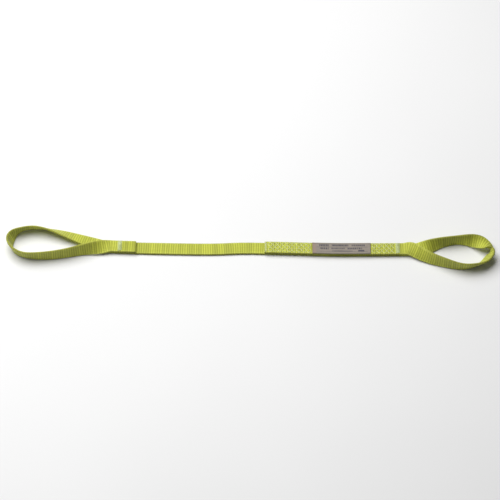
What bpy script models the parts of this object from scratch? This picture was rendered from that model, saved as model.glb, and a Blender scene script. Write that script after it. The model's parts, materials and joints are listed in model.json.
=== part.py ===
"""A one inch synthetic web sling with two twisted eyes, lying loosely on a flat surface.

One long woven strap makes the whole sling. Its middle stretch is a single ply. At each end the
strap runs out into an eye, turns back with half a twist, and is sewn down on top of itself: a long
splice with a sewn-on label at the right, a short tuck at the left. The strap is divided into
pieces only where the sling folds, and each eye into its two legs and its bow.

Frame: +X runs along the sling to the right, +Y away from the front, +Z up, with the origin on the
resting surface under the middle of the bounding box. Lengths below are in millimetres, and mm()
turns them into metres.
"""

import math

import bmesh
import bpy
import numpy as np
from mathutils import Matrix, Vector

# --- strap and thread sizes ---
WEB_WIDTH = 25.4
PLY = 4.0
GAP = 0.3
THREAD = 0.4
ROW_WIDTH = 1.8
LABEL_WIDTH = 24.0
LABEL_THICKNESS = 0.6
BARTACK_WIDTH = WEB_WIDTH - 3
LABEL_INSET = 2  # from the label's ends and sides to its stitching

# --- heights of the layers above the resting surface ---
BASE_Z = THREAD + GAP + PLY / 2
TAIL_Z = BASE_Z + PLY + GAP
NEEDLE_Z = TAIL_Z + PLY / 2 + GAP + THREAD / 2
LABEL_Z = TAIL_Z + PLY / 2 + GAP + LABEL_THICKNESS / 2
LABEL_STITCH_Z = LABEL_Z + LABEL_THICKNESS / 2 + GAP + THREAD / 2
EYE_HINGE_Z = (BASE_Z + TAIL_Z) / 2

# --- places along the sling ---
LEFT_EYE_X = -252
LEFT_TAIL_X = -209
LEFT_FOLD_X = -195
MIDDLE_FOLD_X = -97
RIGHT_FOLD_X = 0
RIGHT_TAIL_X = 26
LABEL_X = (114, 221)
RIGHT_EYE_X = 282
BARTACKS = (("left_eye_bartack", -243, 9), ("right_eye_bartack", 266, 9),
            ("right_tail_bartack", RIGHT_TAIL_X + 1, 4))  # name, start, length

# --- sewing rows across the strap ---
ROWS = 4
ROW_PITCH = 5.6
ROW_SPANS = ((33, 112), (223, 264))  # on either side of the label

# --- how far the loosely laid strap wanders sideways: (x, y) ---
WANDER = ((-262, 4.0), (-209, 2.0), (-150, 0.5), (-100, -0.5), (-50, 0.0), (-18, 1.5),
          (26, 1.0), (90, -1.0), (150, -3.0), (213, -3.0), (292, -2.5))

# --- eye routes, from one root round to the other: centre x, y, z and the direction across ---
LEFT_EYE = (
    (LEFT_EYE_X, 4, TAIL_Z, 0, 1, 0),       # near leg, sewn flat on top
    (-260, 3, 8.3, 0, 1, 0.05),
    (-271, -0.2, 10.6, 0, 0.9, 0.42),       # begins to roll up on its edge
    (-285, -3.6, 12.4, 0, 0.66, 0.75),
    (-304, -7.4, 13, 0, 0.34, 0.94),
    (-325, -13, 13.1, 0, 0.14, 0.99),
    (-360, -20, 13.1, 0, 0, 1),             # near leg stands on edge
    (-395, -22, 13.1, 0, -0.17, 1),
    (-420, -17.5, 13.2, 0, -0.3, 0.95),
    (-434, -7, 12.7, -0.15, -0.22, 0.97),   # bow, leaning outward
    (-440, 5, 12.5, -0.33, -0.12, 0.93),
    (-438.5, 20, 12.2, -0.45, -0.05, 0.88),
    (-427, 33, 13, -0.2, -0.32, 0.92),
    (-399, 41.6, 12.6, 0, -0.42, 0.9),      # far leg leans inward
    (-370, 38, 11.4, 0, -0.6, 0.82),
    (-345, 30.5, 9.9, 0, -0.82, 0.6),       # lays itself down again
    (-310, 19.5, 5.7, 0, -1, 0.25),
    (-280, 10.5, BASE_Z, 0, -1, 0.03),
    (-260, 4.8, BASE_Z, 0, -1, 0),
    (LEFT_EYE_X, 4, BASE_Z, 0, -1, 0),      # far leg, underneath
)
RIGHT_EYE = (
    (RIGHT_EYE_X, -2.5, BASE_Z, 0, 1, 0),   # far leg, underneath
    (300, -1.2, BASE_Z, 0, 1, 0.02),
    (318, -0.5, 7.4, 0, 0.89, 0.45),        # begins to roll up on its edge
    (345, 6, 12.9, 0, 0.34, 0.94),
    (378, 13, 13.2, 0, 0.05, 1),            # far leg stands on edge
    (397, 13, 13.4, 0, 0.32, 0.96),
    (410, 11, 13.6, 0, 0.7, 0.72),         # lies back
    (422, 7.4, 13.8, 0.15, 0.95, 0.28),
    (433, 1.5, 13, 0.3, 0.9, -0.3),         # bow, folded over and under
    (440, -5.5, 12.9, 0.1, 0.68, -0.72),
    (441.5, -13, 12.4, -0.3, 0.52, -0.8),
    (437, -22.5, 11.2, -0.5, 0.43, -0.75),
    (427, -34.5, 11.2, -0.42, 0.45, -0.8),
    (413, -42, 12.2, -0.12, 0.4, -0.9),
    (386, -45.4, 13, 0, 0.21, -0.98),       # near leg stands on edge
    (358, -38, 13.2, 0, -0.09, -1),
    (328, -26, 13, 0, -0.42, -0.9),
    (303, -11.3, 13.2, 0, -0.82, -0.58),    # lays itself down again
    (290, -3.4, 10.1, 0, -0.99, -0.15),
    (RIGHT_EYE_X, -2.5, TAIL_Z, 0, -1, 0),  # near leg, sewn flat on top
)
# Where each eye is divided into leg, bow and leg, as shares of its length.
LEFT_EYE_PARTS = (("left_eye_near_leg", 0.0, 0.39), ("left_eye_bow", 0.39, 0.60),
                  ("left_eye_far_leg", 0.60, 1.0))
RIGHT_EYE_PARTS = (("right_eye_far_leg", 0.0, 0.35), ("right_eye_bow", 0.35, 0.65),
                   ("right_eye_near_leg", 0.65, 1.0))
EYE_STEP = 6
BODY_STEP = 12
ACROSS = 3
EYE_SEAM = 0.7  # between the stretches of an eye, whose ends meet at a twist
TANGENT_STEP = 1e-4  # share of a route used to find which way it runs

# --- the tools that cut the fold faces ---
WEDGE_REACH = 14
WEDGE_LENGTH = 90
WEDGE_SINK = 0.05  # each passes a little beyond the middle of the gap

YELLOW_WEB = (0.52, 0.58, 0.05, 1.0)
PALE_THREAD = (0.62, 0.68, 0.30, 1.0)
LABEL_GREY = (0.30, 0.27, 0.22, 1.0)


def mm(*values):
    """Millimetres to metres."""
    return Vector(values) * 0.001 if len(values) > 1 else values[0] * 0.001


def smooth(points, places):
    """A natural cubic spline through points, by distance along the first three columns, read at
    places given as shares of the whole length."""
    points = np.array(points, float)
    steps = np.linalg.norm(np.diff(points[:, :3], axis=0), axis=1)
    knots = np.concatenate([[0.0], np.cumsum(steps)])
    count = len(points)
    matrix = np.eye(count)
    right = np.zeros_like(points)
    for i in range(1, count - 1):
        before, after = steps[i - 1], steps[i]
        matrix[i, i - 1:i + 2] = before, 2 * (before + after), after
        right[i] = 6 * ((points[i + 1] - points[i]) / after - (points[i] - points[i - 1]) / before)
    bend = np.linalg.solve(matrix, right)
    at = np.asarray(places) * knots[-1]
    i = np.clip(np.searchsorted(knots, at) - 1, 0, count - 2)
    span = steps[i][:, None]
    left = (knots[i + 1] - at)[:, None]
    done = (at - knots[i])[:, None]
    return (bend[i] * left**3 / (6 * span) + bend[i + 1] * done**3 / (6 * span)
            + (points[i] / span - bend[i] * span / 6) * left
            + (points[i + 1] / span - bend[i + 1] * span / 6) * done)


def wander(x):
    """The strap's sideways place at x."""
    table = np.array(WANDER)
    flat = np.column_stack([table, np.zeros(len(table))])
    fine = smooth(flat, np.linspace(0, 1, 400))
    return float(np.interp(x, fine[:, 0], fine[:, 1]))


def material(name, colour, roughness):
    """A plain Principled material."""
    made = bpy.data.materials.new(name)
    made.use_nodes = True
    shader = made.node_tree.nodes["Principled BSDF"]
    shader.inputs["Base Color"].default_value = colour
    shader.inputs["Roughness"].default_value = roughness
    shader.inputs["Metallic"].default_value = 0.0
    made.diffuse_color = colour
    return made


def sheet_object(name, rows, thickness, colour, roughness, closed=False):
    """A grid of points, given in millimetres as rows, thickened evenly about its middle."""
    mesh = bmesh.new()
    verts = [[mesh.verts.new(mm(*point)) for point in row] for row in rows]
    last = len(rows) if closed else len(rows) - 1
    for i in range(last):
        here, there = verts[i], verts[(i + 1) % len(rows)]
        for j in range(len(here) - 1):
            mesh.faces.new((here[j], there[j], there[j + 1], here[j + 1]))
    data = bpy.data.meshes.new(name)
    mesh.to_mesh(data)
    mesh.free()
    made = bpy.data.objects.new(name, data)
    parts.objects.link(made)
    data.materials.append(material(name + "_finish", colour, roughness))
    thicken = made.modifiers.new("thickness", "SOLIDIFY")
    thicken.thickness = mm(thickness)
    thicken.offset = 0.0
    thicken.use_even_offset = True
    return made


def flat_strip(name, start, end, across, height, width, thickness, colour, roughness=0.8):
    """A flat strip along the sling, following the strap's wander."""
    count = max(2, round((end - start) / BODY_STEP) + 1)
    rows = []
    for x in np.linspace(start, end, count):
        y = wander(x) + across
        rows.append([(x, y + width / 2 * side, height) for side in (-1, 1)])
    return sheet_object(name, rows, thickness, colour, roughness)


def eye_strap(name, route, start, end):
    """One stretch of an eye: a strap carried along the route, start and end as shares of it."""
    length = sum(math.dist(a[:3], b[:3]) for a, b in zip(route, route[1:]))
    trim = EYE_SEAM / 2 / length
    count = max(2, round((end - start) * length / EYE_STEP) + 1)
    places = np.linspace(start + trim, end - trim, count)
    at = smooth(route, places)
    ahead = smooth(route, places + TANGENT_STEP) - smooth(route, places - TANGENT_STEP)
    rows = []
    for place, here, run in zip(places, at, ahead):
        along = Vector(run[:3]).normalized()
        across = Vector(here[3:])
        if 2 * trim < place < 1 - 2 * trim:  # the roots stay square to the sling
            across = across - across.dot(along) * along
        across.normalize()
        centre = Vector(here[:3])
        row = []
        for side in np.linspace(-1, 1, ACROSS):
            row.append(tuple(centre + across * (WEB_WIDTH / 2 * float(side))))
        rows.append(row)
    return sheet_object(name, rows, PLY, YELLOW_WEB, 0.8)


def stitch_ring(name, start, end, width, height):
    """A rectangular run of stitching around the edge of the label."""
    middle = wander((start + end) / 2)
    rows = []
    for sx, sy in ((-1, -1), (1, -1), (1, 1), (-1, 1)):
        corner_x = end if sx > 0 else start
        outer = (corner_x, middle + sy * width / 2, height)
        inner = (corner_x - sx * ROW_WIDTH / 2, middle + sy * (width - ROW_WIDTH) / 2, height)
        rows.append([inner, outer])
    return sheet_object(name, rows, THREAD, PALE_THREAD, 0.7, closed=True)


def hinge_wedges(name, x, z):
    """Two square bars set on edge above and below a fold, which give its ends 45 degree faces."""
    bars = []
    for side, word in ((1, "above"), (-1, "below")):
        bpy.ops.mesh.primitive_cube_add(size=1)
        bar = bpy.context.object
        bar.name = name + "_" + word
        edge = WEDGE_REACH * math.sqrt(2)
        turn = Matrix.Rotation(math.radians(45), 4, "Y")
        size = Matrix.Diagonal((mm(edge), mm(WEDGE_LENGTH), mm(edge), 1))
        bar.data.transform(turn @ size)
        bar.location = mm(x, wander(x), z + side * (WEDGE_REACH - GAP / 2 - WEDGE_SINK))
        for held in list(bar.users_collection):
            held.objects.unlink(bar)
        cutters.objects.link(bar)
        bar.hide_render = True
        bar.display_type = "WIRE"
        bars.append(bar)
    return bars


def cut(piece, bars):
    """Cuts a piece with each bar."""
    for bar in bars:
        step = piece.modifiers.new(bar.name, "BOOLEAN")
        step.operation = "DIFFERENCE"
        step.object = bar


def make_body():
    """The straight run of the sling: the strap, its tails, label and sewing."""
    half = GAP / 2
    folds = {
        "left_fold": (LEFT_FOLD_X, BASE_Z),
        "middle_fold": (MIDDLE_FOLD_X, BASE_Z),
        "right_fold": (RIGHT_FOLD_X, BASE_Z),
        "left_eye": (LEFT_EYE_X, EYE_HINGE_Z),
        "right_eye": (RIGHT_EYE_X, EYE_HINGE_Z),
    }
    wedges = {name: hinge_wedges(name + "_wedge", *place) for name, place in folds.items()}
    webs = (
        ("left_splice_web", LEFT_EYE_X, LEFT_FOLD_X, BASE_Z, ("left_eye", "left_fold")),
        ("middle_web_left", LEFT_FOLD_X, MIDDLE_FOLD_X, BASE_Z, ("left_fold", "middle_fold")),
        ("middle_web_right", MIDDLE_FOLD_X, RIGHT_FOLD_X, BASE_Z, ("middle_fold", "right_fold")),
        ("right_splice_web", RIGHT_FOLD_X, RIGHT_EYE_X, BASE_Z, ("right_fold", "right_eye")),
        ("left_tail", LEFT_EYE_X, LEFT_TAIL_X, TAIL_Z, ("left_eye",)),
        ("right_tail", RIGHT_TAIL_X, RIGHT_EYE_X, TAIL_Z, ("right_eye",)),
    )
    for name, start, end, height, ends in webs:
        web = flat_strip(name, start + half, end - half, 0, height, WEB_WIDTH, PLY, YELLOW_WEB)
        for fold in ends:
            cut(web, wedges[fold])
    flat_strip("label", *LABEL_X, 0, LABEL_Z, LABEL_WIDTH, LABEL_THICKNESS, LABEL_GREY, 0.6)
    stitch_ring("label_stitching", LABEL_X[0] + LABEL_INSET, LABEL_X[1] - LABEL_INSET,
                LABEL_WIDTH - 2 * LABEL_INSET, LABEL_STITCH_Z)
    for name, start, length in BARTACKS:
        for word, height in (("", NEEDLE_Z), ("_underside", THREAD / 2)):
            flat_strip(name + word, start, start + length, 0, height, BARTACK_WIDTH, THREAD,
                       PALE_THREAD, 0.7)
    return wedges


def make_sewing_rows():
    """Rows of zigzag sewing: needle thread on top, on both sides of the label, bobbin thread
    underneath, in one run."""
    for row in range(ROWS):
        across = (row - (ROWS - 1) / 2) * ROW_PITCH
        for word, span in zip(("inner", "outer"), ROW_SPANS):
            flat_strip(f"needle_row_{word}_{row + 1}", *span, across, NEEDLE_Z, ROW_WIDTH,
                       THREAD, PALE_THREAD, 0.7)
        flat_strip(f"bobbin_row_{row + 1}", ROW_SPANS[0][0], ROW_SPANS[1][1], across, THREAD / 2,
                   ROW_WIDTH, THREAD, PALE_THREAD, 0.7)


def make_eyes(wedges):
    """The two eyes, each as leg, bow and leg."""
    for route, eye_parts, side in ((LEFT_EYE, LEFT_EYE_PARTS, "left_eye"),
                                   (RIGHT_EYE, RIGHT_EYE_PARTS, "right_eye")):
        for name, start, end in eye_parts:
            strap = eye_strap(name, route, start, end)
            if "leg" in name:
                cut(strap, wedges[side])


for old in list(bpy.data.objects):
    bpy.data.objects.remove(old, do_unlink=True)
parts = bpy.data.collections.new("web_sling")
cutters = bpy.data.collections.new("cutters")
bpy.context.scene.collection.children.link(parts)
bpy.context.scene.collection.children.link(cutters)
fold_wedges = make_body()
make_sewing_rows()
make_eyes(fold_wedges)
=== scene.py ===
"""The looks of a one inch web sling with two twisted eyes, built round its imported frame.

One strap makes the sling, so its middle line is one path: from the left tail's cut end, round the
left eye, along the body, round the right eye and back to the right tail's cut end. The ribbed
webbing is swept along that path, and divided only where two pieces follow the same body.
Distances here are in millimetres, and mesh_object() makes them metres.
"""

import json
import math

import bpy
import numpy as np
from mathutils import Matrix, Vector

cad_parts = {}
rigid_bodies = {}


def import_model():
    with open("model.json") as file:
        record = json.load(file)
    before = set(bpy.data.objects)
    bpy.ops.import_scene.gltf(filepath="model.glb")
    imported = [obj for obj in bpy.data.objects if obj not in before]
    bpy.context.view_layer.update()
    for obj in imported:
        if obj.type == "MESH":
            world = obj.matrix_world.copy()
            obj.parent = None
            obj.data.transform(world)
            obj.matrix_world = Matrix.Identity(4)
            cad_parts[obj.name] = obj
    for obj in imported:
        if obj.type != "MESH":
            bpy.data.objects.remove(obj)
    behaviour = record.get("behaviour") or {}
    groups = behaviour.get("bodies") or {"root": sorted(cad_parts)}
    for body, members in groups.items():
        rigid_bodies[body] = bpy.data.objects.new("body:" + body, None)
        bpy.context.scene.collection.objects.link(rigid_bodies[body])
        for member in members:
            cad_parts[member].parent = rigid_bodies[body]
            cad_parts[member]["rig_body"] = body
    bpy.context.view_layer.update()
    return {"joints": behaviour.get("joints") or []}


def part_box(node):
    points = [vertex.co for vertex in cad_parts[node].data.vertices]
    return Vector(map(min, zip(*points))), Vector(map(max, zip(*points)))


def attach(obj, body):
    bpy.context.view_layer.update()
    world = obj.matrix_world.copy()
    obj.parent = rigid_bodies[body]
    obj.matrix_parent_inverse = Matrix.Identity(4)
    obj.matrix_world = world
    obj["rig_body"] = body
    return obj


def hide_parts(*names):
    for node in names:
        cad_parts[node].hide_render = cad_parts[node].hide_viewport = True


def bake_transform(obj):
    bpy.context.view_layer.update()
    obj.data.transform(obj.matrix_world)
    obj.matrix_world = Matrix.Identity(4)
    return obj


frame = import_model()

MM = 0.001


def node_box(node):
    """A CAD node's lowest and highest corners, in millimetres."""
    low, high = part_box(node)
    return np.array(low) / MM, np.array(high) / MM


def joint_place(name):
    """Where a joint is, in millimetres."""
    return next(np.array(j["pos_m"]) / MM for j in frame["joints"] if j["name"] == name)


# --- sizes and places taken from the frame ---
WEB_LOW, WEB_HIGH = node_box("middle_web_right")
TAIL_LOW, TAIL_HIGH = node_box("right_tail")
PLY = WEB_HIGH[2] - WEB_LOW[2]
WEB_WIDTH = 25.4
BASE_Z = (WEB_LOW[2] + WEB_HIGH[2]) / 2
TAIL_Z = (TAIL_LOW[2] + TAIL_HIGH[2]) / 2
LEFT_EYE_X = joint_place("left_eye_fold")[0]
RIGHT_EYE_X = joint_place("right_eye_fold")[0]
LEFT_TAIL_X = node_box("left_tail")[1][0]
RIGHT_TAIL_X = TAIL_LOW[0]
LABEL_LOW, LABEL_HIGH = node_box("label")
LABEL_LENGTH = LABEL_HIGH[0] - LABEL_LOW[0]
LABEL_WIDTH = 24.0
TOP_FACE = TAIL_Z + PLY / 2
UNDER_FACE = BASE_Z - PLY / 2

# --- the strap's route, as the frame has it: how the body wanders sideways, (x, y) ---
WANDER = ((-262, 4.0), (-209, 2.0), (-150, 0.5), (-100, -0.5), (-50, 0.0), (-18, 1.5),
          (26, 1.0), (90, -1.0), (150, -3.0), (213, -3.0), (292, -2.5))
# ... and the eyes, from one root round to the other: centre x, y, z and the direction across
LEFT_EYE = (
    (LEFT_EYE_X, 4, TAIL_Z, 0, 1, 0),       # near leg, sewn flat on top
    (-260, 3, 8.3, 0, 1, 0.05),
    (-271, -0.2, 10.6, 0, 0.9, 0.42),       # begins to roll up on its edge
    (-285, -3.6, 12.4, 0, 0.66, 0.75),
    (-304, -7.4, 13, 0, 0.34, 0.94),
    (-325, -13, 13.1, 0, 0.14, 0.99),
    (-360, -20, 13.1, 0, 0, 1),             # near leg stands on edge
    (-395, -22, 13.1, 0, -0.17, 1),
    (-420, -17.5, 13.2, 0, -0.3, 0.95),
    (-434, -7, 12.7, -0.15, -0.22, 0.97),   # bow, leaning outward
    (-440, 5, 12.5, -0.33, -0.12, 0.93),
    (-438.5, 20, 12.2, -0.45, -0.05, 0.88),
    (-427, 33, 13, -0.2, -0.32, 0.92),
    (-399, 41.6, 12.6, 0, -0.42, 0.9),      # far leg leans inward
    (-370, 38, 11.4, 0, -0.6, 0.82),
    (-345, 30.5, 9.9, 0, -0.82, 0.6),       # lays itself down again
    (-310, 19.5, 5.7, 0, -1, 0.25),
    (-280, 10.5, BASE_Z, 0, -1, 0.03),
    (-260, 4.8, BASE_Z, 0, -1, 0),
    (LEFT_EYE_X, 4, BASE_Z, 0, -1, 0),      # far leg, underneath
)
RIGHT_EYE = (
    (RIGHT_EYE_X, -2.5, BASE_Z, 0, 1, 0),   # far leg, underneath
    (300, -1.2, BASE_Z, 0, 1, 0.02),
    (318, -0.5, 7.4, 0, 0.89, 0.45),        # begins to roll up on its edge
    (345, 6, 12.9, 0, 0.34, 0.94),
    (378, 13, 13.2, 0, 0.05, 1),            # far leg stands on edge
    (397, 13, 13.4, 0, 0.32, 0.96),
    (410, 11, 13.6, 0, 0.7, 0.72),          # lies back
    (422, 7.4, 13.8, 0.15, 0.95, 0.28),
    (433, 1.5, 13, 0.3, 0.9, -0.3),         # bow, folded over and under
    (440, -5.5, 12.9, 0.1, 0.68, -0.72),
    (441.5, -13, 12.4, -0.3, 0.52, -0.8),
    (437, -22.5, 11.2, -0.5, 0.43, -0.75),
    (427, -34.5, 11.2, -0.42, 0.45, -0.8),
    (413, -42, 12.2, -0.12, 0.4, -0.9),
    (386, -45.4, 13, 0, 0.21, -0.98),       # near leg stands on edge
    (358, -38, 13.2, 0, -0.09, -1),
    (328, -26, 13, 0, -0.42, -0.9),
    (303, -11.3, 13.2, 0, -0.82, -0.58),    # lays itself down again
    (290, -3.4, 10.1, 0, -0.99, -0.15),
    (RIGHT_EYE_X, -2.5, TAIL_Z, 0, -1, 0),  # near leg, sewn flat on top
)

# --- weave ---
RIB_PITCH = 4.2
YARN_PITCH = 1.27
RIB_DEPTH = 0.30
YARN_DEPTH = 0.11
EDGE_ROUND = 1.7
SELVAGE_WIDTH = 0.9
ROWS_PER_RIB = 6
COLUMNS_PER_YARN = 3
EDGE_COLUMNS = 8
EDGE_RIB_SHARE = 0.9    # how deep the ribs are at the strap's edges, to their depth on its faces
SEAL_LENGTH = 1.6
SEAL_DEPTH = 0.5
RIB_LEAN, LEAN_WAVE = 0.25, 41.0
RIB_WAVE = 0.22
WAVE_ACROSS, WAVE_ALONG = 5.3, 29.0
RIB_STRENGTHS = (0.75, 1.25)
RIB_COUNT = 600         # more ribs than the strap has
RIB_SEED = 7
TAIL_DIMMING = 0.22     # the left tail's weave is painted this much further towards the darker colour of the valleys
# How dark the strap's rims are painted along x, as painted shade: dark on the body, and where the
# eyes stand on edge.
RIM_SHADE = ((-320, -295, -262, -240, 268, 285, 312, 335),
             (0.9, 0.45, 0.45, 1.0, 1.0, 0.3, 0.3, 0.9))

# --- sewing ---
NEEDLE_THREAD = 0.43
BOBBIN_THREAD = 0.24
STITCH_PITCH = 4.4
STITCH_REACH = 2.35
ROW_SPACING = 5.6
ROW_COUNT = 4
BARTACK_WIDTH = WEB_WIDTH - 4.5
BARTACK_PITCHES = (("left_eye_bartack", 1.0), ("right_eye_bartack", 1.0),
                   ("right_tail_bartack", 2.2))
# How far thread lies off the face, and how far it sinks at each needle hole; below, off is down.
NEEDLE_LIE = (0.25, 0.45)
BOBBIN_LIE = (-0.3, 0.3)
BARTACK_LIES = ((0.30, 0.4), (0.55, 0.4))       # the first pass and the second, on top of it
LABEL_LIE = (0.22, 0.3)
POINTS_PER_STITCH = 9
THREAD_SIDES = 6
SHARP_ANGLE = math.radians(78)      # faces that meet at more than this keep a hard edge

# --- label ---
LABEL_GRID = (108, 25)          # points along and across
LABEL_STITCH_INSET = 1.9
LABEL_STITCH_PITCH = 3.0
LABEL_THREAD = 0.3
LABEL_PULL = 0.1                # how far the stitches pull the face down
# Printed blocks: front left and back right corners, the marks' pitch and their share of it.
LABEL_BLOCKS = (
    ((13, 16.0), (31, 20.5), 3.1, 0.74), ((36, 16.6), (66, 20.4), 2.7, 0.78),
    ((71, 16.6), (97, 20.4), 3.6, 0.72), ((14, 9.6), (30, 13.6), 4.1, 0.7),
    ((35, 10.2), (60, 13.2), 2.3, 0.66), ((64, 9.6), (92, 13.4), 3.4, 0.7),
    ((36, 4.9), (74, 7.2), 1.9, 0.6), ((82, 4.6), (96, 8.0), 14.0, 0.8),
)
LABEL_RULES = (4.6, 14.3)       # where each printed rule starts, from the front edge
RULE_MARGINS = (8, 6)           # from the label's left and right ends
RULE_WIDTH = 0.45

# --- where the webbing is divided, and how far each bend reaches along the sling ---
LEFT_EYE_SEAM_X, LEFT_SEAM_X, MIDDLE_SEAM_X, RIGHT_EYE_SEAM_X = -239, -146, -48, 270


def smooth(points, places):
    """A natural cubic spline through points, by distance along the first three columns, read at
    places given as shares of the whole length."""
    points = np.array(points, float)
    steps = np.linalg.norm(np.diff(points[:, :3], axis=0), axis=1)
    knots = np.concatenate([[0.0], np.cumsum(steps)])
    count = len(points)
    matrix = np.eye(count)
    right = np.zeros_like(points)
    for i in range(1, count - 1):
        before, after = steps[i - 1], steps[i]
        matrix[i, i - 1:i + 2] = before, 2 * (before + after), after
        right[i] = 6 * ((points[i + 1] - points[i]) / after - (points[i] - points[i - 1]) / before)
    bend = np.linalg.solve(matrix, right)
    at = np.asarray(places) * knots[-1]
    i = np.clip(np.searchsorted(knots, at) - 1, 0, count - 2)
    span = steps[i][:, None]
    left = (knots[i + 1] - at)[:, None]
    done = (at - knots[i])[:, None]
    return (bend[i] * left**3 / (6 * span) + bend[i + 1] * done**3 / (6 * span)
            + (points[i] / span - bend[i] * span / 6) * left
            + (points[i + 1] / span - bend[i + 1] * span / 6) * done)


def wander(x):
    """The strap's sideways place at x."""
    table = np.array(WANDER)
    flat = np.column_stack([table, np.zeros(len(table))])
    fine = smooth(flat, np.linspace(0, 1, 400))
    return np.interp(x, fine[:, 0], fine[:, 1])


def unit(vectors):
    """Each row at length 1."""
    return vectors / np.linalg.norm(vectors, axis=1)[:, None]


class StrapPath:
    """The whole strap's middle line: centre, direction across and face normal by distance."""

    EYE_SAMPLES = 900
    STRAIGHT_SAMPLES = 300
    SAMPLE = 0.5        # between samples along the finished path
    EASE = 5            # samples over which corners and twists are eased

    def __init__(self):
        shares = np.linspace(0, 1, self.EYE_SAMPLES)
        left_eye = smooth(LEFT_EYE, shares)
        right_eye = smooth(RIGHT_EYE, shares)
        right_eye[:, 3:] *= -1  # the same edge of the strap leads all the way
        runs = (
            self.straight(LEFT_TAIL_X, LEFT_EYE_X, TAIL_Z, 1),
            left_eye,
            self.straight(LEFT_EYE_X, RIGHT_EYE_X, BASE_Z, -1),
            right_eye,
            self.straight(RIGHT_EYE_X, RIGHT_TAIL_X, TAIL_Z, 1),
        )
        route = np.concatenate(runs)
        moved = np.linalg.norm(np.diff(route[:, :3], axis=0), axis=1) > 1e-6
        route = route[np.concatenate([[True], moved])]      # runs share their end points
        route[:, 3:] = unit(route[:, 3:])
        along = self.distances(route)
        even = np.arange(0, along[-1], self.SAMPLE)
        route = np.stack([np.interp(even, along, column) for column in route.T], axis=1)
        route = self.eased(route)
        self.distance = self.distances(route)
        self.centre = route[:, :3]
        self.length = self.distance[-1]
        run = unit(np.gradient(self.centre, axis=0))
        across = route[:, 3:] - (route[:, 3:] * run).sum(1)[:, None] * run
        self.across = unit(across)
        self.normal = np.cross(run, self.across)

    @staticmethod
    def distances(route):
        """How far along the route each row is."""
        steps = np.linalg.norm(np.diff(route[:, :3], axis=0), axis=1)
        return np.concatenate([[0.0], np.cumsum(steps)])

    def straight(self, start, end, height, side):
        """Rows of a route along the body that lies flat. Its direction across points back if
        side is 1, and forward if side is -1."""
        x = np.linspace(start, end, self.STRAIGHT_SAMPLES)
        flat = np.zeros_like(x)
        return np.stack([x, wander(x), flat + height, flat, flat + side, flat], axis=1)

    def eased(self, route):
        """The route with its corners and twists eased by a bell-shaped average."""
        reach = 3 * self.EASE
        bell = np.exp(-0.5 * (np.arange(-reach, reach + 1) / self.EASE) ** 2)
        bell /= bell.sum()
        ahead = np.arange(reach, 0, -1)[:, None]
        before = route[0] - ahead * (route[1] - route[0])
        after = route[-1] + ahead[::-1] * (route[-1] - route[-2])
        longer = np.concatenate([before, route, after])
        return np.stack([np.convolve(column, bell, "valid") for column in longer.T], axis=1)

    def at(self, distance):
        """Centre, direction across and face normal at each distance."""
        read = [np.stack([np.interp(distance, self.distance, column) for column in table.T],
                         axis=1) for table in (self.centre, self.across, self.normal)]
        return read[0], unit(read[1]), unit(read[2])

    def crossing(self, x, after=0.0):
        """The first distance past after at which the strap passes x."""
        gap = self.centre[:, 0] - x
        found = np.nonzero((gap[:-1] * gap[1:] <= 0) & (self.distance[:-1] >= after))[0][0]
        share = gap[found] / (gap[found] - gap[found + 1])
        return self.distance[found] + share * (self.distance[found + 1] - self.distance[found])


# --------------------------------------------------------------------------------------------
# materials
# --------------------------------------------------------------------------------------------

class Nodes:
    """A material's node tree, with one short call for each kind of node."""

    def __init__(self, name):
        self.material = bpy.data.materials.new(name)
        self.material.use_nodes = True
        self.tree = self.material.node_tree
        self.shader = self.tree.nodes["Principled BSDF"]

    def put(self, socket, value):
        """Sets a socket to a value, or links it to another node's output."""
        if isinstance(value, bpy.types.NodeSocket):
            self.tree.links.new(value, socket)
        else:
            socket.default_value = value

    def add(self, kind, **inputs):
        node = self.tree.nodes.new("ShaderNode" + kind)
        for name, value in inputs.items():
            self.put(node.inputs[name.replace("_", " ")], value)
        return node

    def math(self, operation, *values, clamp=False):
        node = self.tree.nodes.new("ShaderNodeMath")
        node.operation = operation
        node.use_clamp = clamp
        for socket, value in zip(node.inputs, values):
            self.put(socket, value)
        return node.outputs[0]

    def mix(self, share, first, second, blend="MIX"):
        node = self.tree.nodes.new("ShaderNodeMix")
        node.data_type = "RGBA"
        node.blend_type = blend
        self.put(node.inputs[0], share)
        self.put(node.inputs[6], first)
        self.put(node.inputs[7], second)
        return node.outputs[2]

    def spread(self, value, low, high, to_low=0.0, to_high=1.0):
        """Maps low..high to to_low..to_high, and holds it there."""
        node = self.add("MapRange", Value=value, From_Min=low, From_Max=high, To_Min=to_low,
                        To_Max=to_high)
        return node.outputs[0]

    def noise(self, vector, scale, detail=2.0, roughness=0.5):
        node = self.add("TexNoise", Vector=vector, Scale=scale, Detail=detail,
                        Roughness=roughness)
        return node.outputs["Fac"]

    def bump(self, height, distance, strength=1.0):
        node = self.add("Bump", Height=height, Distance=distance, Strength=strength)
        self.put(self.shader.inputs["Normal"], node.outputs[0])

    def set(self, **inputs):
        for name, value in inputs.items():
            self.put(self.shader.inputs[name.replace("_", " ")], value)


def attribute(nodes, name):
    """The three numbers of a mesh attribute."""
    node = nodes.tree.nodes.new("ShaderNodeAttribute")
    node.attribute_name = name
    parts = nodes.add("SeparateXYZ", Vector=node.outputs["Vector"])
    return parts.outputs


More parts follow.
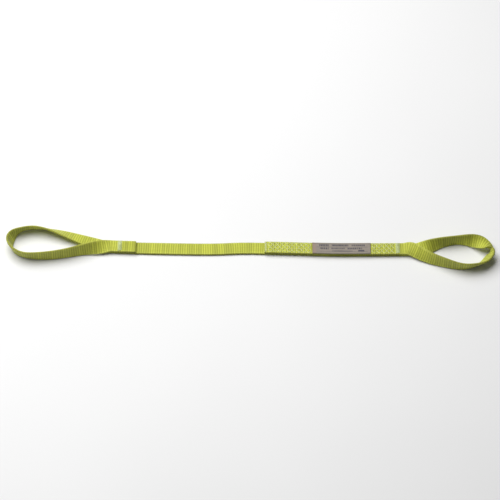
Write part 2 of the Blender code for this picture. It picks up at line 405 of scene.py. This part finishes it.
def webbing_material():
    """Woven polyester: ribs, yarns, filaments, paler selvage, soil, sealed ends; painted shade in
    valleys and on rims.
    """
    n = Nodes("webbing_fabric")
    weave = n.add("UVMap")
    weave.uv_map = "weave"
    place = n.add("SeparateXYZ", Vector=weave.outputs[0]).outputs
    depth, selvage, rim = attribute(n, "relief")
    solid = n.add("TexCoord").outputs["Object"]

    rib_number = n.math("FLOOR", n.math("ADD", place[0], 0.5))
    rib_shade = n.add("TexWhiteNoise")
    rib_shade.noise_dimensions = "1D"
    n.put(rib_shade.inputs["W"], rib_number)
    yarn_number = n.math("FLOOR", n.math("ADD", place[1], 0.5))
    yarn_cell = n.add("CombineXYZ", X=n.math("MULTIPLY", place[0], 0.07), Y=yarn_number)
    yarn_shade = n.noise(yarn_cell.outputs[0], 1.7)
    filament_cell = n.add("CombineXYZ", X=n.math("MULTIPLY", place[0], 0.8),
                          Y=n.math("MULTIPLY", place[1], 9.0))
    filament = n.noise(filament_cell.outputs[0], 1.0, detail=3.0, roughness=0.6)
    soil = n.noise(solid, 28.0, detail=4.0, roughness=0.6)

    # painted shade: the darker colour for the weave's valleys and the dark colour for its rims
    painted_valley_shade = (0.325, 0.350, 0.022, 1)
    crest = (0.545, 0.580, 0.066, 1)
    worn = (0.625, 0.650, 0.165, 1)
    painted_rim_shade_and_melt = (0.150, 0.150, 0.014, 1)
    # painted shade in the valleys between ribs and yarns, by how deep each point sits
    colour = n.mix(n.spread(depth, 0.1, 0.8), crest, painted_valley_shade)
    colour = n.mix(n.math("MULTIPLY", n.spread(filament, 0.55, 0.8), 0.35), colour, worn)
    colour = n.mix(n.math("MULTIPLY", selvage, 0.35), colour, worn)
    shade = n.spread(rib_shade.outputs["Value"], 0.0, 1.0, 0.84, 1.08)
    shade = n.math("MULTIPLY", shade, n.spread(yarn_shade, 0.3, 0.7, 0.93, 1.05))
    shade = n.math("MULTIPLY", shade, n.spread(soil, 0.3, 0.7, 0.92, 1.03))
    colour = n.mix(1.0, colour, n.add("CombineXYZ", X=shade, Y=shade, Z=shade).outputs[0],
                   "MULTIPLY")
    # painted shade on the rims, which the real darkening of melted ends shares
    colour = n.mix(n.math("MULTIPLY", rim, 0.85), colour, painted_rim_shade_and_melt)
    n.set(Base_Color=colour, Roughness=n.spread(filament, 0.3, 0.8, 0.62, 0.82),
          Sheen_Weight=0.18, Sheen_Roughness=0.5, Specular_IOR_Level=0.35)
    n.bump(filament, 0.00012)
    return n.material


def thread_material(name, low, high, painted_ply_shade):
    """Twisted sewing thread, wandering between two tones, with painted shade between its plies."""
    n = Nodes(name)
    weave = n.add("UVMap")
    weave.uv_map = "weave"
    twist = n.add("TexWave", Vector=weave.outputs[0], Scale=1.0, Distortion=0.4)
    twist.bands_direction = "DIAGONAL"
    solid = n.add("TexCoord").outputs["Object"]
    tone = n.noise(solid, 90.0)
    colour = n.mix(n.spread(tone, 0.3, 0.7), (*low, 1), (*high, 1))
    # painted shade between the thread's plies, following the twist
    colour = n.mix(n.math("MULTIPLY", twist.outputs["Fac"], 0.3), colour, (*painted_ply_shade, 1))
    n.set(Base_Color=colour, Roughness=n.spread(tone, 0.3, 0.7, 0.5, 0.65), Sheen_Weight=0.1)
    n.bump(twist.outputs["Fac"], 0.0001)
    return n.material


def in_box(n, x, y, low, high):
    """1 inside a rectangle of the label, and 0 outside."""
    inside = n.math("GREATER_THAN", x, low[0])
    for value, edge, test in ((x, high[0], "LESS_THAN"), (y, low[1], "GREATER_THAN"),
                              (y, high[1], "LESS_THAN")):
        inside = n.math("MULTIPLY", inside, n.math(test, value, edge))
    return inside


def label_material():
    """Grey-brown coated label with a stained left end, a painted shadow along its left edge and a
    faded, generic print of rules and blocks broken into marks, with no lettering. Its weave UV
    runs in millimetres from the label's left front corner."""
    n = Nodes("label_print")
    weave = n.add("UVMap")
    weave.uv_map = "weave"
    place = n.add("SeparateXYZ", Vector=weave.outputs[0]).outputs
    x, y = place[0], place[1]
    solid = n.add("TexCoord").outputs["Object"]
    grain = n.noise(solid, 900.0, detail=3.0)
    blotch = n.noise(solid, 45.0, detail=4.0, roughness=0.65)

    mark = None
    for low, high, pitch, share in LABEL_BLOCKS:
        beat = n.math("FRACT", n.math("DIVIDE", x, pitch))
        block = n.math("MULTIPLY", in_box(n, x, y, low, high),
                       n.math("LESS_THAN", beat, share))
        mark = block if mark is None else n.math("MAXIMUM", mark, block)
    for rule_y in LABEL_RULES:
        rule = in_box(n, x, y, (RULE_MARGINS[0], rule_y),
                      (LABEL_LENGTH - RULE_MARGINS[1], rule_y + RULE_WIDTH))
        mark = n.math("MAXIMUM", mark, rule)
    faded = n.spread(n.noise(solid, 260.0, detail=3.0), 0.30, 0.50, 0.5, 1.0)
    ink = n.math("MULTIPLY", n.math("MULTIPLY", mark, faded), 0.95)

    dark, light = (0.212, 0.181, 0.147, 1), (0.272, 0.235, 0.195, 1)
    stain, painted_end_shadow = (0.29, 0.17, 0.13, 1), (0.12, 0.09, 0.05, 1)
    edge_brown, ink_colour = (0.13, 0.11, 0.10, 1), (0.035, 0.033, 0.050, 1)
    ground = n.mix(n.spread(blotch, 0.3, 0.7), dark, light)
    ground = n.mix(n.spread(x, 3.0, 9.0, 0.5, 0.0), ground, stain)
    # painted shadow: a dark band along the label's left edge
    ground = n.mix(n.spread(x, 0.5, 2.6, 0.6, 0.0), ground, painted_end_shadow)
    rim = n.math("MINIMUM", n.math("MINIMUM", x, n.math("SUBTRACT", LABEL_LENGTH, x)),
                 n.math("MINIMUM", y, n.math("SUBTRACT", LABEL_WIDTH, y)))
    ground = n.mix(n.spread(rim, 0.0, 0.8, 0.2, 0.0), ground, edge_brown)
    colour = n.mix(ink, ground, ink_colour)
    n.set(Base_Color=colour, Roughness=n.spread(blotch, 0.3, 0.7, 0.48, 0.66),
          Specular_IOR_Level=0.4)
    n.bump(grain, 0.00008)
    return n.material


def floor_material():
    """Plain pale floor."""
    n = Nodes("pale_floor")
    dim, pale = (0.75, 0.75, 0.75, 1), (0.77, 0.77, 0.77, 1)
    tone = n.noise(n.add("TexCoord").outputs["Object"], 2.0)
    n.set(Base_Color=n.mix(n.spread(tone, 0.3, 0.7), dim, pale), Roughness=0.9)
    return n.material


# --------------------------------------------------------------------------------------------
# meshes
# --------------------------------------------------------------------------------------------

def mesh_object(name, points, faces, uvs, finish, relief=None):
    """A smooth-shaded mesh from millimetre points, faces and one UV for each face corner."""
    data = bpy.data.meshes.new(name)
    data.from_pydata((np.asarray(points) * MM).tolist(), [], faces)
    layer = data.uv_layers.new(name="weave")
    layer.data.foreach_set("uv", np.asarray(uvs, np.float32).ravel())
    if relief is not None:
        held = data.attributes.new("relief", "FLOAT_VECTOR", "POINT")
        held.data.foreach_set("vector", np.asarray(relief, np.float32).ravel())
    data.materials.append(finish)
    data.shade_smooth()
    data.set_sharp_from_angle(angle=SHARP_ANGLE)
    data.update()
    made = bpy.data.objects.new(name, data)
    bpy.context.scene.collection.objects.link(made)
    return made


def swept(rings, ring_uvs, capped=True):
    """Points, faces and corner UVs of a closed skin through rings of points, capped at both
    ends. ring_uvs holds one more column than a ring, so that the seam doesn't wrap back."""
    count, around = rings.shape[:2]
    i, j = np.meshgrid(np.arange(count - 1), np.arange(around), indexing="ij")
    i, j = i.ravel(), j.ravel()
    k = (j + 1) % around
    quads = np.stack([i * around + j, i * around + k, (i + 1) * around + k,
                      (i + 1) * around + j], axis=1)
    uvs = np.stack([ring_uvs[i, j], ring_uvs[i, j + 1], ring_uvs[i + 1, j + 1],
                    ring_uvs[i + 1, j]], axis=1).reshape(-1, 2)
    faces = quads.tolist()
    if capped:
        first = list(range(around))[::-1]
        last = [(count - 1) * around + j for j in range(around)]
        faces += [first, last]
        uvs = np.concatenate([uvs, ring_uvs[0, :around][::-1], ring_uvs[-1, :around]])
    return rings.reshape(-1, 3), faces, uvs


def strap_outline():
    """The webbing's cross-section, going round: (sideways, up, sideways normal, up normal) with
    how much each point takes of the face's relief, of the paler selvage yarns and of the
    painted shade on the rim, and its place around."""
    face = WEB_WIDTH / 2 - EDGE_ROUND
    columns = round(2 * face / YARN_PITCH) * COLUMNS_PER_YARN
    sideways = np.linspace(-face, face, columns + 1)
    flat = np.zeros_like(sideways)
    turn = np.radians(np.linspace(90, -90, EDGE_COLUMNS + 1))[1:-1]
    half = PLY / 2
    top = np.stack([sideways, flat + half, flat, flat + 1], axis=1)
    edge = np.stack([face + EDGE_ROUND * np.cos(turn), half * np.sin(turn), np.cos(turn),
                     np.sin(turn)], axis=1)
    loop = np.concatenate([top, edge, top * (-1, -1, 1, -1), edge * (-1, -1, -1, -1)])
    from_edge = WEB_WIDTH / 2 - np.abs(loop[:, 0])
    face_share = np.clip((from_edge - EDGE_ROUND * 0.6) / 1.2, 0, 1)
    selvage = np.clip(1 - np.abs(from_edge - EDGE_ROUND - 0.6) / SELVAGE_WIDTH, 0, 1)
    # painted shade on the rounded edge
    rim = np.clip((EDGE_ROUND * 0.9 - from_edge) / 0.6, 0, 1)
    ring = np.concatenate([loop, loop[:1]])[:, :2]
    around = np.concatenate([[0.0], np.cumsum(np.linalg.norm(np.diff(ring, axis=0), axis=1))])
    return loop, face_share, selvage, rim, around - face


def strap_piece(name, path, start, end, finish, sealed=None, dimming=0.0):
    """The ribbed webbing from start to end along the strap. sealed is the distance of a cut and
    melted end, and dimming is how much further its weave is painted towards the darker colour of
    the valleys."""
    rows = max(2, round((end - start) / RIB_PITCH * ROWS_PER_RIB) + 1)
    distance = np.linspace(start, end, rows)
    centre, across, normal = path.at(distance)
    loop, face_share, selvage, rim, around = strap_outline()
    sideways = loop[:, 0][None, :]

    # each rib leans and waves a little, and each is beaten in a little differently
    lean = RIB_LEAN * np.sin(distance / LEAN_WAVE)[:, None] * sideways / (WEB_WIDTH / 2)
    wave = RIB_WAVE * np.sin(sideways / WAVE_ACROSS + distance[:, None] / WAVE_ALONG)
    beat = (distance[:, None] + lean + wave) / RIB_PITCH
    random = np.random.default_rng(RIB_SEED).random(RIB_COUNT)
    number = np.clip(np.round(beat).astype(int), 0, RIB_COUNT - 1)
    strength = RIB_STRENGTHS[0] + (RIB_STRENGTHS[1] - RIB_STRENGTHS[0]) * random[number]
    rib = np.abs(np.cos(np.pi * beat)) ** 0.75 - 1
    brick = np.cos(np.pi * sideways / YARN_PITCH) * np.cos(np.pi * beat)
    on_face = face_share[None, :]
    height = (RIB_DEPTH * strength * rib * (EDGE_RIB_SHARE + (1 - EDGE_RIB_SHARE) * on_face)
              + YARN_DEPTH * (brick - 1) * on_face)
    if sealed is not None:
        near = np.clip(1 - np.abs(distance - sealed) / SEAL_LENGTH, 0, 1)[:, None]
        height = height * (1 - near) - SEAL_DEPTH * near**2
    else:
        near = np.zeros((rows, 1))

    out_side = (loop[:, 0] + loop[:, 2] * height)[..., None]
    out_up = (loop[:, 1] + loop[:, 3] * height)[..., None]
    rings = centre[:, None] + across[:, None] * out_side + normal[:, None] * out_up
    uvs = np.stack(np.broadcast_arrays((distance / RIB_PITCH)[:, None],
                                       (around / YARN_PITCH)[None, :]), axis=2)
    # painted shade: how deep each point sits between ribs and yarns, plus the left tail's dimming
    depth = -rib * (0.4 + 0.6 * on_face) + 0.18 * (1 - brick) * on_face + dimming
    # painted shade on the rims, set along x by RIM_SHADE and heavier in the rib valleys; melted
    # ends join it
    shaded = np.interp(centre[:, 0], *RIM_SHADE)[:, None] * (0.7 - 0.45 * rib)
    rim = np.maximum(rim[None, :] * shaded, near)
    relief = np.stack(np.broadcast_arrays(np.clip(depth, 0, 1), selvage[None, :],
                                          np.clip(rim, 0, 1)), axis=2)
    points, faces, corner_uvs = swept(rings, uvs)
    return mesh_object(name, points, faces, corner_uvs, finish,
                       relief.reshape(-1, 3))


def thread_tube(lines, radius):
    """Rings and UVs of a thread along each line of points, each line a separate closed skin."""
    angle = np.linspace(0, 2 * math.pi, THREAD_SIDES, endpoint=False)
    points, faces, uvs = [], [], []
    for line in lines:
        run = unit(np.gradient(line, axis=0))
        side = unit(np.cross(run, (0.0, 0.0, 1.0)))
        up = np.cross(side, run)
        rings = (line[:, None] + side[:, None] * (radius * np.cos(angle))[None, :, None]
                 + up[:, None] * (radius * np.sin(angle))[None, :, None])
        far = np.concatenate([[0], np.cumsum(np.linalg.norm(np.diff(line, axis=0), axis=1))])
        wrap = np.arange(THREAD_SIDES + 1) / THREAD_SIDES * 2 * math.pi * radius
        ring_uvs = np.stack(np.broadcast_arrays(far[:, None], wrap[None, :]), axis=2)
        more, more_faces, more_uvs = swept(rings, ring_uvs)
        offset = sum(len(p) for p in points)
        faces += [[v + offset for v in face] for face in more_faces]
        points.append(more)
        uvs.append(more_uvs)
    return np.concatenate(points), faces, np.concatenate(uvs)


def stitched(holes, surface, lift, sink):
    """The line of a thread that lies from needle hole to needle hole on a face at surface, lift
    above it (below it if lift is negative), and dips into the webbing at each hole."""
    share = np.linspace(0, 1, POINTS_PER_STITCH)[:-1]
    rise = np.sin(np.pi * share) ** 0.45
    line = []
    for here, there in zip(holes, holes[1:]):
        flat = np.outer(1 - share, here) + np.outer(share, there)
        height = surface + np.sign(lift) * (rise * (abs(lift) + sink) - sink)
        line.append(np.column_stack([flat, height]))
    line.append([[holes[-1][0], holes[-1][1], surface - np.sign(lift) * sink]])
    return np.concatenate(line)


def zigzag(start, end, across, reach, pitch):
    """Needle holes of a zigzag row along the sling."""
    count = round((end - start) / pitch)
    x = np.linspace(start, end, count + 1)
    side = np.where(np.arange(count + 1) % 2, 1, -1)
    return np.column_stack([x, wander(x) + across + side * reach])


def bartack(start, end, width, pitch):
    """Needle holes of a bartack: stitches as long as it is, packed side by side across the
    strap and bunched here and there, in two passes."""
    passes = []
    for shift in (0.0, 0.5):
        count = round(width / pitch)
        y = (np.arange(count + 1) / count - 0.5) * width + shift * pitch * 0.8
        y += 0.45 * np.sin(1.9 * y + 4 * shift)
        x = np.where(np.arange(count + 1) % 2, end - shift, start + shift)
        passes.append(np.column_stack([x, y + wander((start + end) / 2)]))
    return passes


def sewing(name, lines, radius, finish, nodes):
    """One named piece of sewing, which rides on the right or left splice as its CAD nodes do."""
    points, faces, uvs = thread_tube(lines, radius)
    made = mesh_object(name, points, faces, uvs, finish)
    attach(made, bpy.data.objects[nodes[0]]["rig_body"])
    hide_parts(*nodes)
    return made


# --------------------------------------------------------------------------------------------
# pieces
# --------------------------------------------------------------------------------------------

def bend_between(piece):
    """Bakes a piece's placement into its mesh; nothing bends it between bodies."""
    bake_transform(piece)


def make_webbing(path, finish):
    """The strap in seven pieces, which meet where both follow the same body."""
    left_tail_end = path.crossing(LEFT_EYE_SEAM_X)
    left_eye_end = path.crossing(LEFT_EYE_SEAM_X, left_tail_end + 100)
    left_end = path.crossing(LEFT_SEAM_X, left_eye_end)
    middle_end = path.crossing(MIDDLE_SEAM_X, left_end)
    right_end = path.crossing(RIGHT_EYE_SEAM_X, middle_end)
    right_eye_end = path.crossing(RIGHT_EYE_SEAM_X, right_end + 100)

    left_tail = strap_piece("left_tail_webbing", path, 0.0, left_tail_end, finish, sealed=0.0,
                            dimming=TAIL_DIMMING)
    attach(left_tail, "left_splice")
    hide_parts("left_tail")

    left_eye = strap_piece("left_eye_webbing", path, left_tail_end, left_eye_end, finish)
    bend_between(left_eye)
    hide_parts("left_eye_near_leg", "left_eye_bow", "left_eye_far_leg")

    left = strap_piece("left_webbing", path, left_eye_end, left_end, finish)
    bend_between(left)
    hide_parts("left_splice_web")

    middle = strap_piece("middle_webbing", path, left_end, middle_end, finish)
    bend_between(middle)
    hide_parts("middle_web_left")

    right = strap_piece("right_webbing", path, middle_end, right_end, finish)
    bend_between(right)
    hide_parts("right_splice_web", "middle_web_right")

    right_eye = strap_piece("right_eye_webbing", path, right_end, right_eye_end, finish)
    bend_between(right_eye)
    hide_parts("right_eye_far_leg", "right_eye_bow", "right_eye_near_leg")

    right_tail = strap_piece("right_tail_webbing", path, right_eye_end, path.length, finish,
                             sealed=path.length)
    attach(right_tail, "right_splice")
    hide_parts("right_tail")


def make_splice_sewing(finish):
    """Zigzag rows: needle thread on top on both sides of the label, bobbin thread below."""
    for row in range(1, ROW_COUNT + 1):
        side = (-1) ** row      # neighbouring rows mirror each other
        for word in ("inner", "outer"):
            node = f"needle_row_{word}_{row}"
            low, high = node_box(node)
            across = (low[1] + high[1]) / 2 - wander((low[0] + high[0]) / 2)
            holes = zigzag(low[0], high[0], across, side * STITCH_REACH, STITCH_PITCH)
            sewing(f"needle_thread_{word}_{row}", [stitched(holes, TOP_FACE, *NEEDLE_LIE)],
                   NEEDLE_THREAD, finish, (node,))
        node = f"bobbin_row_{row}"
        low, high = node_box(node)
        across = (row - (ROW_COUNT + 1) / 2) * ROW_SPACING
        holes = zigzag(low[0], high[0], across, side * STITCH_REACH, STITCH_PITCH)
        sewing(f"bobbin_thread_{row}", [stitched(holes, UNDER_FACE, *BOBBIN_LIE)],
               BOBBIN_THREAD, finish, (node,))


def make_bartacks(finish, tail_finish):
    """Dense cross-sewing that closes each eye, and more open cross-sewing at the right tail's
    end."""
    for name, pitch in BARTACK_PITCHES:
        low, high = node_box(name)
        look = tail_finish if "tail" in name else finish
        holes = bartack(low[0], high[0], BARTACK_WIDTH, pitch)
        lines = [stitched(one, TOP_FACE, *lie) for one, lie in zip(holes, BARTACK_LIES)]
        sewing(name + "_thread", lines, NEEDLE_THREAD, look, (name,))
        sewing(name + "_bobbin_thread", [stitched(holes[0], UNDER_FACE, *BOBBIN_LIE)],
               BOBBIN_THREAD, look, (name + "_underside",))


def make_label(finish, thread):
    """The label, a thin sheet that waves a little between its stitches, and its stitching."""
    length, width = LABEL_LENGTH, LABEL_WIDTH
    half_thickness = (LABEL_HIGH[2] - LABEL_LOW[2]) / 2
    columns, rows = LABEL_GRID
    gx, gy = np.meshgrid(np.linspace(0, length, columns), np.linspace(0, width, rows),
                         indexing="ij")
    inset = np.minimum(np.minimum(gx, length - gx), np.minimum(gy, width - gy))
    lifted = 0.10 * np.sin(gx / 6.1 + 0.4 * np.sin(gy / 5)) + 0.07 * np.sin(gy / 3.1 + gx / 17)
    lifted = lifted * np.clip(inset / 5, 0, 1)
    pressed = 0.12 * np.exp(-((inset - LABEL_STITCH_INSET) / 0.5) ** 2)
    rolled = 0.25 * np.clip(1 - inset / 0.6, 0, 1) ** 2
    middle = (LABEL_LOW[2] + LABEL_HIGH[2]) / 2
    world_x = LABEL_LOW[0] + gx
    world_y = wander(world_x) + gy - width / 2
    top = np.stack([world_x, world_y, middle + half_thickness + lifted - pressed - rolled], 2)
    base = np.stack([world_x, world_y, middle - half_thickness + 0.6 * lifted - 0.1], 2)
    points = np.concatenate([top.reshape(-1, 3), base.reshape(-1, 3)])
    count = columns * rows
    number = np.arange(count).reshape(columns, rows)
    a, b, c, d = number[:-1, :-1], number[1:, :-1], number[1:, 1:], number[:-1, 1:]
    upper = np.stack([a, b, c, d], 2).reshape(-1, 4)
    rim = np.concatenate([number[:, 0], number[-1, 1:], number[-2::-1, -1], number[0, -2:0:-1]])
    ahead = np.roll(rim, -1)
    walls = np.stack([rim, rim + count, ahead + count, ahead], 1)
    faces = np.concatenate([upper, upper[:, ::-1] + count, walls])
    flat = np.stack([gx.ravel(), gy.ravel()], 1)
    uvs = np.concatenate([flat, flat])[faces.ravel()]
    label = mesh_object("sewn_label", points, faces.tolist(), uvs, finish)
    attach(label, "right_splice")
    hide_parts("label")

    start, end = LABEL_LOW[0] + LABEL_STITCH_INSET, LABEL_HIGH[0] - LABEL_STITCH_INSET
    half = width / 2 - LABEL_STITCH_INSET
    sides = []
    for side in (-1, 1):
        long = np.linspace(start, end, round((end - start) / LABEL_STITCH_PITCH) + 1)
        if side > 0:
            long = long[::-1]
        sides.append(np.column_stack([long, wander(long) + side * half]))
        short = np.linspace(side, -side, round(2 * half / LABEL_STITCH_PITCH) + 1)[1:-1] * half
        corner = long[-1]
        sides.append(np.column_stack([np.full_like(short, corner), wander(corner) + short]))
    holes = np.concatenate(sides + [sides[0][:1]])
    line = stitched(holes, LABEL_HIGH[2] - LABEL_PULL, *LABEL_LIE)
    sewing("label_thread", [line], LABEL_THREAD, thread, ("label_stitching",))


# --------------------------------------------------------------------------------------------
# stage
# --------------------------------------------------------------------------------------------

FLOOR_SIZE = 30
LIGHTS = (("key", (-0.9, 0.75, 2.3), 2.7, 118), ("fill", (-1.6, -1.6, 1.6), 2.0, 2))
WORLD_LIGHT = 0.08
VIEW_WIDTH = 0.917
CAMERA_DISTANCE = 6.0
CAMERA_ELEVATION = math.radians(55)
SENSOR_WIDTH = 36.0


def make_stage():
    """A pale floor, soft light from above, left and behind, and a long lens at 55 degrees."""
    bpy.ops.mesh.primitive_plane_add(size=FLOOR_SIZE)
    floor = bpy.context.object
    floor.name = "floor"
    floor.data.materials.append(floor_material())

    for name, place, size, power in LIGHTS:
        lamp = bpy.data.lights.new(name, "AREA")
        lamp.size = size
        lamp.energy = power
        made = bpy.data.objects.new(name, lamp)
        made.location = place
        made.rotation_euler = (-Vector(place)).to_track_quat("-Z", "Y").to_euler()
        bpy.context.scene.collection.objects.link(made)
    world = bpy.data.worlds.new("studio")
    world.use_nodes = True
    background = world.node_tree.nodes["Background"].inputs
    background["Color"].default_value = (1, 1, 1, 1)
    background["Strength"].default_value = WORLD_LIGHT
    bpy.context.scene.world = world
    bpy.context.scene.view_settings.view_transform = "Standard"

    camera = bpy.data.cameras.new("camera")
    camera.sensor_width = SENSOR_WIDTH
    camera.lens = SENSOR_WIDTH * CAMERA_DISTANCE / VIEW_WIDTH
    camera.clip_end = 100
    eye = bpy.data.objects.new("camera", camera)
    back = Vector((0, -math.cos(CAMERA_ELEVATION), math.sin(CAMERA_ELEVATION)))
    eye.location = back * CAMERA_DISTANCE
    eye.rotation_euler = (-back).to_track_quat("-Z", "Y").to_euler()
    bpy.context.scene.collection.objects.link(eye)
    bpy.context.scene.camera = eye


make_stage()
webbing = webbing_material()
thread = thread_material("sewing_thread", (0.69, 0.75, 0.34), (0.86, 0.90, 0.55),
                         (0.38, 0.43, 0.12))
bartack_thread = thread_material("bartack_thread", (0.46, 0.53, 0.20), (0.68, 0.75, 0.38),
                                 (0.36, 0.40, 0.16))
label_thread = thread_material("label_thread", (0.30, 0.28, 0.22), (0.42, 0.39, 0.32),
                               (0.16, 0.14, 0.11))
strap = StrapPath()
make_webbing(strap, webbing)
make_splice_sewing(thread)
make_bartacks(bartack_thread, thread)
make_label(label_material(), label_thread)
